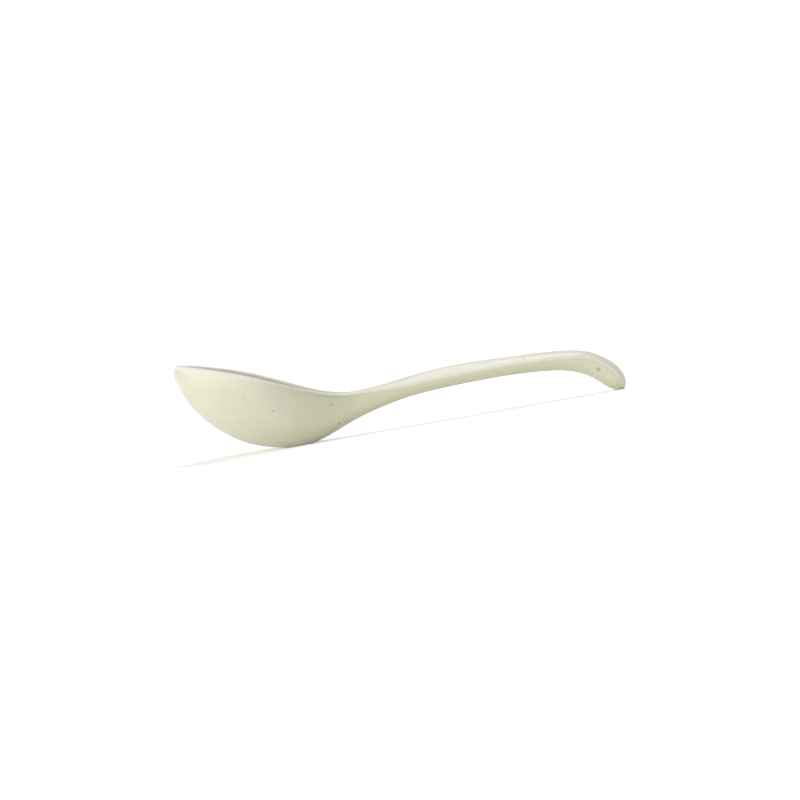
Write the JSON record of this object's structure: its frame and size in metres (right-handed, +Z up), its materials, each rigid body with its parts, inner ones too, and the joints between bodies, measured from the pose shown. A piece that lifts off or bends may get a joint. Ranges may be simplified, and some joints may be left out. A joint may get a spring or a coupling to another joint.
{
  "type": "ceramic spoon",
  "caption": "Deep-bowled glazed stoneware spoon with a rolled lip, a crowned handle and a hooked end that rests on a table or over a bowl's rim, for soup.",
  "frame": {"origin": "middle of the bare foot ground flat under the bowl, on the table that the spoon rests on", "axes": "+X along the spoon from the foot towards the hook, +Y across it, +Z up; the spoon rests on its foot and on the hook's tip"},
  "size_m": [0.1772, 0.048, 0.0399],
  "materials": {
    "bisque": "bare fired clay, ground flat where it stands",
    "slip": "bare fired slip, matte",
    "glaze": "satin cream glaze with sparse iron specks"
  },
  "bodies": {
    "root": {"bowl": "bisque", "handle": "bisque", "luting_slip": "slip", "glaze_coat": "glaze"}
  },
  "joints": []
}
